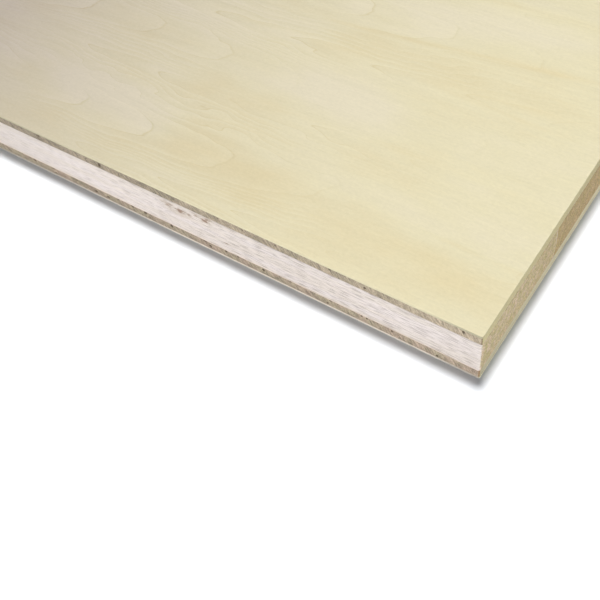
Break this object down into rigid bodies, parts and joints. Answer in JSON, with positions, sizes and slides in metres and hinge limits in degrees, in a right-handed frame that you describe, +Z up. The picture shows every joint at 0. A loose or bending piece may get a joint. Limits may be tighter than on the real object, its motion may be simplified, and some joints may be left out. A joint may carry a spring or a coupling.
{
  "type": "lumber-core plywood sheet",
  "caption": "Flat rectangular wood sheet: pale face and back veneers over crossbands, with a core of solid strips laid edge to edge along the length.",
  "frame": {"origin": "centre of the underside, where the sheet rests", "axes": "+X along the length, the face grain and the core strips; +Y across the width, along the crossbands' grain; +Z up, out of the better face"},
  "size_m": [1.82, 0.91, 0.018],
  "materials": {
    "face_veneer": "sanded, unfinished, pale cream-yellow rotary-cut veneer",
    "crossband": "raw sawn edge, grey-brown open-pored veneer",
    "core": "raw sawn edge, pinkish-white light hardwood with short brown pore lines",
    "back_veneer": "sanded, unfinished, pale rotary-cut veneer, a little duller than the face"
  },
  "bodies": {
    "root": {"face_veneer": "face_veneer", "upper_crossband": "crossband", "core_strip_01": "core", "core_strip_02": "core", "core_strip_03": "core", "core_strip_04": "core", "core_strip_05": "core", "core_strip_06": "core", "core_strip_07": "core", "core_strip_08": "core", "core_strip_09": "core", "core_strip_10": "core", "core_strip_11": "core", "core_strip_12": "core", "core_strip_13": "core", "core_strip_14": "core", "core_strip_15": "core", "core_strip_16": "core", "core_strip_17": "core", "core_strip_18": "core", "core_strip_19": "core", "core_strip_20": "core", "lower_crossband": "crossband", "back_veneer": "back_veneer"}
  },
  "joints": []
}
